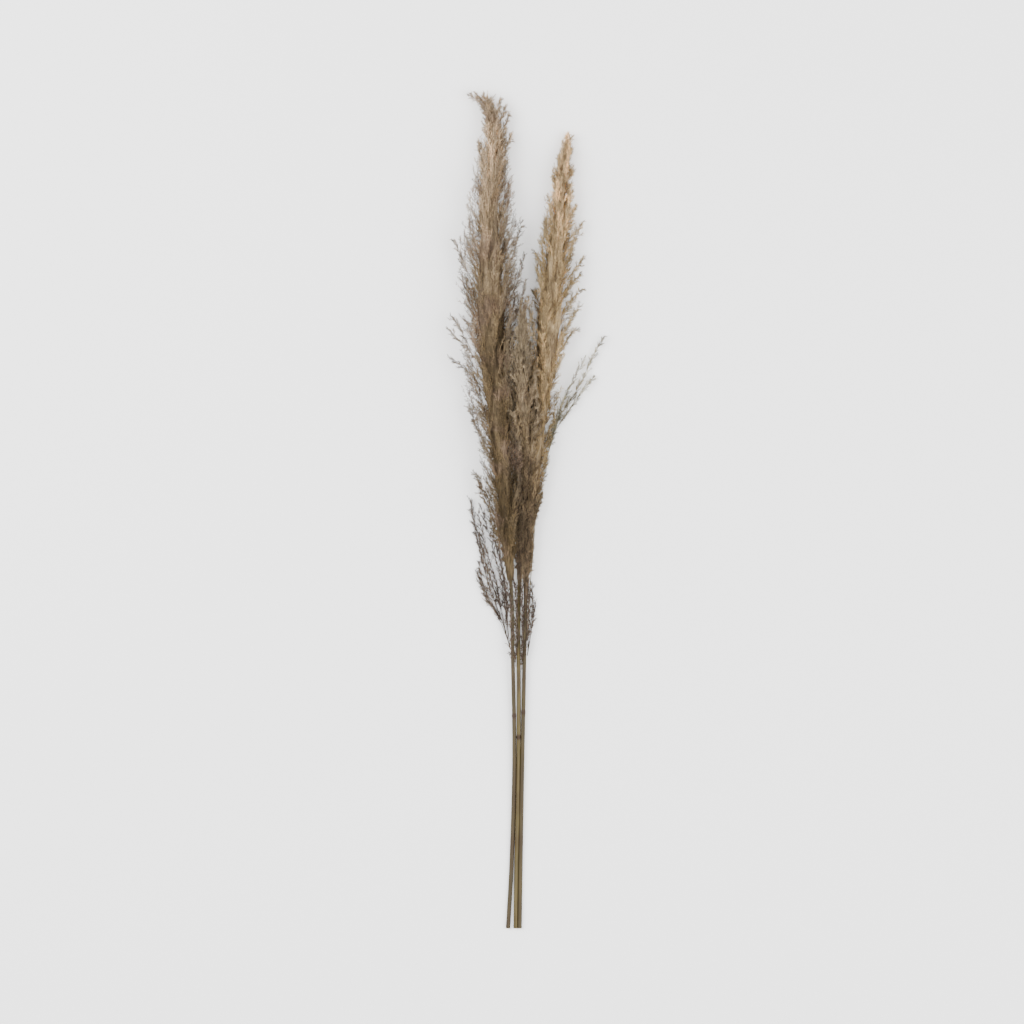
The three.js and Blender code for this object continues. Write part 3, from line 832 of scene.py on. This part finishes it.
def blended(tree, share, first, second, way="MIX"):
    """A mix of two colours."""
    made = tree.nodes.new("ShaderNodeMix")
    made.data_type = "RGBA"
    made.blend_type = way
    for number, value in ((0, share), (6, first), (7, second)):
        fill(tree, made.inputs[number], value)
    return made.outputs[2]


def eased(tree, value, low, high, bottom=0.0, top=1.0):
    """A value spread smoothly from one range over another."""
    made = linked(tree, "ShaderNodeMapRange", Value=value)
    made.interpolation_type = "SMOOTHSTEP"
    for socket, number in zip(made.inputs[1:5], (low, high, bottom, top)):
        socket.default_value = number
    return made.outputs[0]


def new_finish(name):
    """An empty material and its nodes."""
    material = bpy.data.materials.new(name)
    material.use_nodes = True
    material.node_tree.nodes.clear()
    return material, material.node_tree


def tone_of(tree):
    """The four tones of a piece. Strands carry their distance from the line, chance and their height in
    the plume; stems their nearness to the joint, the cut end, nothing, and how far they face upward."""
    attribute = tree.nodes.new("ShaderNodeAttribute")
    attribute.attribute_type = "GEOMETRY"
    attribute.attribute_name = "tone"
    parts = linked(tree, "ShaderNodeSeparateColor", Color=attribute.outputs["Color"])
    return parts.outputs[0], parts.outputs[1], parts.outputs[2], attribute.outputs["Alpha"]


def speckle(tree, cells):
    """Even mottling, by how many cells it has in a metre."""
    place = tree.nodes.new("ShaderNodeTexCoord").outputs["Object"]
    return linked(tree, "ShaderNodeTexNoise", Vector=place, Scale=cells, Detail=3.0).outputs[0]


def streaks(tree, over, along):
    """Mottling drawn out along the stalks, by how many cells it has in a metre across and along them."""
    place = tree.nodes.new("ShaderNodeTexCoord").outputs["Object"]
    stretch = linked(tree, "ShaderNodeMapping", Vector=place, Scale=(over, along, over))
    return linked(tree, "ShaderNodeTexNoise", Vector=stretch.outputs[0], Scale=1.0, Detail=4.0).outputs[0]


def shaded(tree, colour, pattern, low, high, darker, lighter):
    """A colour made darker where a pattern is low and lighter where it is high."""
    shade = blended(tree, eased(tree, pattern, low, high), darker, lighter)
    return blended(tree, 1.0, colour, shade, "MULTIPLY")


def shown(material, shader):
    """The material with this shader on its surface."""
    tree = material.node_tree
    output = tree.nodes.new("ShaderNodeOutputMaterial")
    tree.links.new(shader.outputs[0], output.inputs["Surface"])
    return material


# Patterns on the plumes by their cells in a metre, and how they shade the colour: each strand by chance,
# locks of strands, single fibres along the stalks, and fine grain. Patches of blush lie among them.
STRAND_SHADE = (0.0, 1.0, (0.6, 0.6, 0.6), (1.3, 1.28, 1.22))
LOCKS = (75.0, 11.0)
LOCK_SHADE = (0.38, 0.62, (0.74, 0.73, 0.72), (1.2, 1.19, 1.16))
FIBRES = (520.0, 40.0)
FIBRE_SHADE = (0.36, 0.64, (0.7, 0.69, 0.68), (1.24, 1.24, 1.23))
GRAIN = 420.0
GRAIN_SHADE = (0.35, 0.65, (0.88, 0.88, 0.88), (1.1, 1.1, 1.1))
BLUSH = 22.0
BLUSH_SPREAD = (0.48, 0.66, 0.0, 0.45)
TIP_FULL = 0.92
EDGE_SPREAD = (0.3, 0.9, 0.0, 0.9)
EDGE_AT_TIP = (0.7, 0.95, 0.0, 0.5)
EDGE_AT_FOOT = (0.75, 0.0)
STRAND_ROUGHNESS = 0.82
LIGHT_THROUGH = 0.35
GLOSS = 0.2


def plume_finish(name, tip, middle, foot, edge, blush, foot_to=(0.04, 0.42), tip_from=0.5):
    """Dull silky plume strands: darker towards the foot and greyer at the edge."""
    material, tree = new_finish(name)
    radial, chance, height, _ = tone_of(tree)
    colour = blended(tree, eased(tree, height, *foot_to), foot, middle)
    colour = blended(tree, eased(tree, height, tip_from, TIP_FULL), colour, tip)
    worn = blended(tree, eased(tree, height, *EDGE_AT_TIP), edge, tip)
    worn = blended(tree, eased(tree, height, *foot_to, *EDGE_AT_FOOT), worn, foot)
    colour = blended(tree, eased(tree, radial, *EDGE_SPREAD), colour, worn)
    colour = blended(tree, eased(tree, speckle(tree, BLUSH), *BLUSH_SPREAD), colour, blush)
    colour = shaded(tree, colour, chance, *STRAND_SHADE)
    colour = shaded(tree, colour, streaks(tree, *LOCKS), *LOCK_SHADE)
    colour = shaded(tree, colour, streaks(tree, *FIBRES), *FIBRE_SHADE)
    colour = shaded(tree, colour, speckle(tree, GRAIN), *GRAIN_SHADE)
    dull = skin(tree, GLOSS, Base_Color=colour, Roughness=STRAND_ROUGHNESS)
    through = linked(tree, "ShaderNodeBsdfTranslucent", Color=colour)
    both = linked(tree, "ShaderNodeMixShader", Fac=LIGHT_THROUGH)
    tree.links.new(dull.outputs[0], both.inputs[1])
    tree.links.new(through.outputs[0], both.inputs[2])
    return shown(material, both)


BROWNER = (0.8, 0.7, 0.6)
PALER = 1.25


def spray_finish(name, colour):
    """Dull strands of a loose spray."""
    browner = tuple(channel * share for channel, share in zip(colour, BROWNER))
    paler = tuple(channel * PALER for channel in colour)
    return plume_finish(name, colour, colour, browner, paler, browner)


# The straw: its fibres and stains by their cells in a metre, how they change it, and the painted shade that
# darkens the sides which face less upward.
STRAW_FIBRES = (900.0, 14.0)
STRAW_FIBRE_SPREAD = (0.35, 0.7)
STRAW_DARKER = 0.5
# Painted shade on the stems: darker where a side faces less upward, lighter on the top.
PAINTED_SIDE_SHADE = (0.45, 1.0, (0.85, 0.84, 0.82), (1.0, 1.0, 0.99))
STAINS = 14.0
STAIN_SPREAD = (0.45, 0.7, 0.0, 0.5)
JOINT_SPREAD = (0.3, 0.9)
CUT_SPREAD = (0.4, 0.6)
STRAW_ROUGHNESS = (0.3, 0.7, 0.45, 0.6)
FIBRE_RELIEF = 0.35
FIBRE_DEPTH = 0.0004


def stem_finish(name, straw, joint, pith):
    """Dried straw with fine fibres along it, painted shade darker at its sides and underside, a brown joint
    and a pale cut end.
    """
    material, tree = new_finish(name)
    near_joint, cut, _, upward = tone_of(tree)
    fibre = streaks(tree, *STRAW_FIBRES)
    darker = tuple(channel * STRAW_DARKER for channel in straw)
    colour = blended(tree, eased(tree, fibre, *STRAW_FIBRE_SPREAD), darker, straw)
    # Painted shade: the sides and underside of the stem, which face less upward, are made darker.
    colour = shaded(tree, colour, upward, *PAINTED_SIDE_SHADE)
    colour = blended(tree, eased(tree, speckle(tree, STAINS), *STAIN_SPREAD), colour, joint)
    colour = blended(tree, eased(tree, near_joint, *JOINT_SPREAD), colour, joint)
    colour = blended(tree, eased(tree, cut, *CUT_SPREAD), colour, pith)
    bump = linked(tree, "ShaderNodeBump", Strength=FIBRE_RELIEF, Distance=FIBRE_DEPTH, Height=fibre)
    rough = eased(tree, fibre, *STRAW_ROUGHNESS)
    straw_skin = skin(tree, GLOSS, Base_Color=colour, Normal=bump.outputs[0], Roughness=rough)
    return shown(material, straw_skin)


def tint(name, about, default):
    """A colour that a user can change."""
    return FloatVectorProperty(
        name=name, description=about, default=default, subtype="COLOR", min=0.0, max=1.0
    )


def size(name, about, default):
    """A length that a user can change."""
    return FloatProperty(name=name, description=about, default=default, min=0.0, unit="LENGTH", precision=5)


class StemLooks(PropertyGroup):
    """Colours of the stems."""

    left_straw: tint("Left stem", "Grey brown straw of the left stem", (0.065, 0.048, 0.0215))
    right_straw: tint("Right stem", "Grey brown straw of the right stem", (0.065, 0.048, 0.0205))
    middle_straw: tint("Middle stem", "Olive straw of the middle stem", (0.113, 0.085, 0.031))
    joint: tint("Joint", "Brown of the joints and of the old patches", (0.03, 0.016, 0.008))
    pith: tint("Pith", "Pale inside at the cut end", (0.72, 0.64, 0.45))


class StrandLooks(PropertyGroup):
    """Sizes of the fine strands that all plumes and sprays share."""

    shoot_length: size("Side shoot length", "Length of the shoots that carry the spikelets", 0.024)
    spikelet_length: size("Spikelet length", "Length of one spikelet", 0.0062)
    spikelet_width: size("Spikelet width", "Width of one spikelet", 0.00105)
    hair_length: size("Hair length", "Length of the silky hairs", 0.009)
    hair_width: size("Hair width", "Width of the silky hairs", 0.0003)
    thread_width: size("Thread width", "Width of a side shoot's thread", 0.00045)
    wave: size("Wave", "How far a side shoot waves to and fro", 0.0018)


class PlumeLooks(PropertyGroup):
    """Colours of the loose sprays and, from the lists below, of the three plumes."""

    side_spray: tint("Side spray", "Long loose spray on the right", (0.42, 0.39, 0.29))
    low_sprays: tint("Low sprays", "Loose sprays below the plumes", (0.15, 0.118, 0.098))


# Each plume's colours, in the order of its parts.
PLUME_PARTS = {"tip": "Upper part", "middle": "Middle", "foot": "Foot", "edge": "Edge", "blush": "Patches"}
PLUME_TINTS = {
    ("taupe", "tall left plume"): [
        (0.70, 0.54, 0.365), (0.26, 0.19, 0.108), (0.15, 0.108, 0.057), (0.38, 0.33, 0.285),
        (0.32, 0.22, 0.175),
    ],
    ("sand", "right plume"): [
        (0.86, 0.655, 0.405), (0.54, 0.40, 0.228), (0.23, 0.17, 0.112), (0.46, 0.37, 0.23),
        (0.45, 0.33, 0.20),
    ],
    ("brown", "short middle plume"): [
        (0.50, 0.40, 0.275), (0.30, 0.224, 0.138), (0.235, 0.174, 0.12), (0.37, 0.30, 0.215),
        (0.26, 0.19, 0.13),
    ],
}
for (colour, plume), tints in PLUME_TINTS.items():
    for (part, about), default in zip(PLUME_PARTS.items(), tints):
        made = tint(colour.title() + ", " + part, about + " of the " + plume, default)
        PlumeLooks.__annotations__[colour + "_" + part] = made


class StageLooks(PropertyGroup):
    """The floor, the light and the camera's distance."""

    floor: tint("Floor", "Colour of the surface that the bunch lies on", (0.97, 0.97, 0.97))
    camera_height: size("Camera height", "How far above the surface the camera is", 10.0)
    framed_width: size("Framed width", "Width of what the picture shows", 1.469)
    light_power: FloatProperty(
        name="Light power", description="Power of the soft lamps", default=150.0, unit="POWER"
    )
    sky: FloatProperty(name="Sky", description="Strength of the even light from all round", default=2.0)


def grown_plume(context, colour, stalk, places, **heights):
    """Makes one plume in its own colours, with a piece for each place named."""
    looks = context.scene.pampas_plumes
    tints = [getattr(looks, colour + "_" + part) for part in PLUME_PARTS]
    finish = plume_finish(colour + " plume", *tints, **heights)
    names = [colour + "_plume" + place for place in places]
    plume_pieces(STALK_SET[stalk], Sizes(context.scene.pampas_strands), finish, names)


class PAMPAS_OT_stems(Operator):
    """Makes the three dried stems"""

    bl_idname = "pampas.stems"
    bl_label = "Stems"

    def execute(self, context):
        looks = context.scene.pampas_stems
        straws = {"left": looks.left_straw, "right": looks.right_straw, "middle": looks.middle_straw}
        for name, straw in straws.items():
            stem_piece(STALK_SET[name], stem_finish(name + " straw", straw, looks.joint, looks.pith))
        return {"FINISHED"}


class PAMPAS_OT_taupe_plume(Operator):
    """Makes the tall taupe plume on the left"""

    bl_idname = "pampas.taupe_plume"
    bl_label = "Taupe plume"

    def execute(self, context):
        grown_plume(context, "taupe", "left", ("_lower", "_middle", "_upper"), foot_to=(0.1, 0.6))
        return {"FINISHED"}


class PAMPAS_OT_sand_plume(Operator):
    """Makes the sand-coloured plume on the right"""

    bl_idname = "pampas.sand_plume"
    bl_label = "Sand plume"

    def execute(self, context):
        places = "_lower", "_upper"
        grown_plume(context, "sand", "right", places, foot_to=(0.13, 0.37), tip_from=0.66)
        return {"FINISHED"}


class PAMPAS_OT_brown_plume(Operator):
    """Makes the short grey-brown plume between the others"""

    bl_idname = "pampas.brown_plume"
    bl_label = "Brown plume"

    def execute(self, context):
        grown_plume(context, "brown", "middle", ("",))
        return {"FINISHED"}


class PAMPAS_OT_sprays(Operator):
    """Makes the three loose sprays"""

    bl_idname = "pampas.sprays"
    bl_label = "Sprays"

    def execute(self, context):
        looks = context.scene.pampas_plumes
        pale = spray_finish("side spray", looks.side_spray)
        dark = spray_finish("low spray", looks.low_sprays)
        sizes = Sizes(context.scene.pampas_strands)
        for name, finish in (("side", pale), ("low_left", dark), ("low_right", dark)):
            spray_piece(name, sizes, finish)
        return {"FINISHED"}


class PAMPAS_OT_stage(Operator):
    """Makes the pale floor, the soft light and the camera"""

    bl_idname = "pampas.stage"
    bl_label = "Stage"

    def execute(self, context):
        looks = context.scene.pampas_stage
        pale_floor(looks)
        soft_light(looks)
        camera_above(looks)
        return {"FINISHED"}


FLOOR_HALF = 6.0
FLOOR_ROUGHNESS = 0.9
LAMP_SIZE = 2.4
LAMPS = {"lamp left": ((-2.2, 0.8, 2.6), 1.0), "lamp right": ((2.4, -0.4, 2.8), 0.8)}
SENSOR_WIDTH = 36.0
FAR_END = 50.0

# Where the camera stands over the bunch, and the height at which the framed width is measured.
CAMERA_PLACE = (-0.02305, -0.00139)
FRAMED_LEVEL = 0.02


def pale_floor(looks):
    """A wide plain floor under the bunch."""
    corners = [(x * FLOOR_HALF, y * FLOOR_HALF, 0) for x, y in ((-1, -1), (1, -1), (1, 1), (-1, 1))]
    mesh = bpy.data.meshes.new("floor")
    mesh.from_pydata(corners, [], [(0, 1, 2, 3)])
    material, tree = new_finish("pale floor")
    matt = skin(tree, 0.0, Base_Color=looks.floor, Roughness=FLOOR_ROUGHNESS)
    mesh.materials.append(shown(material, matt))
    floor = placed("floor", mesh)


def soft_light(looks):
    """Even light from all round and wide soft lamps above."""
    world = bpy.context.scene.world or bpy.data.worlds.new("studio")
    bpy.context.scene.world = world
    world.use_nodes = True
    tree = world.node_tree
    tree.nodes.clear()
    sky = linked(tree, "ShaderNodeBackground", Color=(1, 1, 1), Strength=looks.sky)
    output = tree.nodes.new("ShaderNodeOutputWorld")
    tree.links.new(sky.outputs[0], output.inputs["Surface"])
    for name, (place, share) in LAMPS.items():
        data = bpy.data.lights.new(name, "AREA")
        data.shape = "SQUARE"
        data.size = LAMP_SIZE
        data.energy = looks.light_power * share
        lamp = placed(name, data)
        lamp.location = place
        toward = -lamp.location.normalized()
        lamp.rotation_euler = toward.to_track_quat("-Z", "Y").to_euler()


def camera_above(looks):
    """A long lens straight above the bunch, with the plume tips at the top of the picture."""
    data = bpy.data.cameras.new("camera")
    data.sensor_width = SENSOR_WIDTH
    data.lens = SENSOR_WIDTH * (looks.camera_height - FRAMED_LEVEL) / looks.framed_width
    data.clip_end = FAR_END
    camera = placed("camera", data)
    camera.location = (*CAMERA_PLACE, looks.camera_height)
    bpy.context.scene.camera = camera


class PAMPAS_PT_bunch(Panel):
    """Lists the pieces of the bunch with their sizes and colours"""

    bl_idname = "PAMPAS_PT_bunch"
    bl_label = "Pampas bunch"
    bl_space_type = "VIEW_3D"
    bl_region_type = "UI"
    bl_category = "Pampas"

    def draw(self, context):
        scene = context.scene
        for operator in OPERATORS:
            self.layout.operator(operator.bl_idname)
        for looks in (scene.pampas_stems, scene.pampas_strands, scene.pampas_plumes, scene.pampas_stage):
            box = self.layout.box()
            for key in looks.__annotations__:
                box.prop(looks, key)


LOOKS = {
    "pampas_stems": StemLooks,
    "pampas_strands": StrandLooks,
    "pampas_plumes": PlumeLooks,
    "pampas_stage": StageLooks,
}
OPERATORS = (
    PAMPAS_OT_stems,
    PAMPAS_OT_taupe_plume,
    PAMPAS_OT_sand_plume,
    PAMPAS_OT_brown_plume,
    PAMPAS_OT_sprays,
    PAMPAS_OT_stage,
)


def register():
    """Makes the classes and the scene's settings known."""
    for kind in (*LOOKS.values(), *OPERATORS, PAMPAS_PT_bunch):
        bpy.utils.register_class(kind)
    for name, kind in LOOKS.items():
        setattr(bpy.types.Scene, name, PointerProperty(type=kind))


def unregister():
    """Takes the settings and the classes away again."""
    for name in LOOKS:
        delattr(bpy.types.Scene, name)
    for kind in reversed((*LOOKS.values(), *OPERATORS, PAMPAS_PT_bunch)):
        bpy.utils.unregister_class(kind)


def main():
    """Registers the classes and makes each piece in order."""
    register()
    bpy.ops.pampas.stage()
    bpy.ops.pampas.stems()
    bpy.ops.pampas.taupe_plume()
    bpy.ops.pampas.sand_plume()
    bpy.ops.pampas.brown_plume()
    bpy.ops.pampas.sprays()
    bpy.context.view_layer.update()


if __name__ == "__main__":
    main()
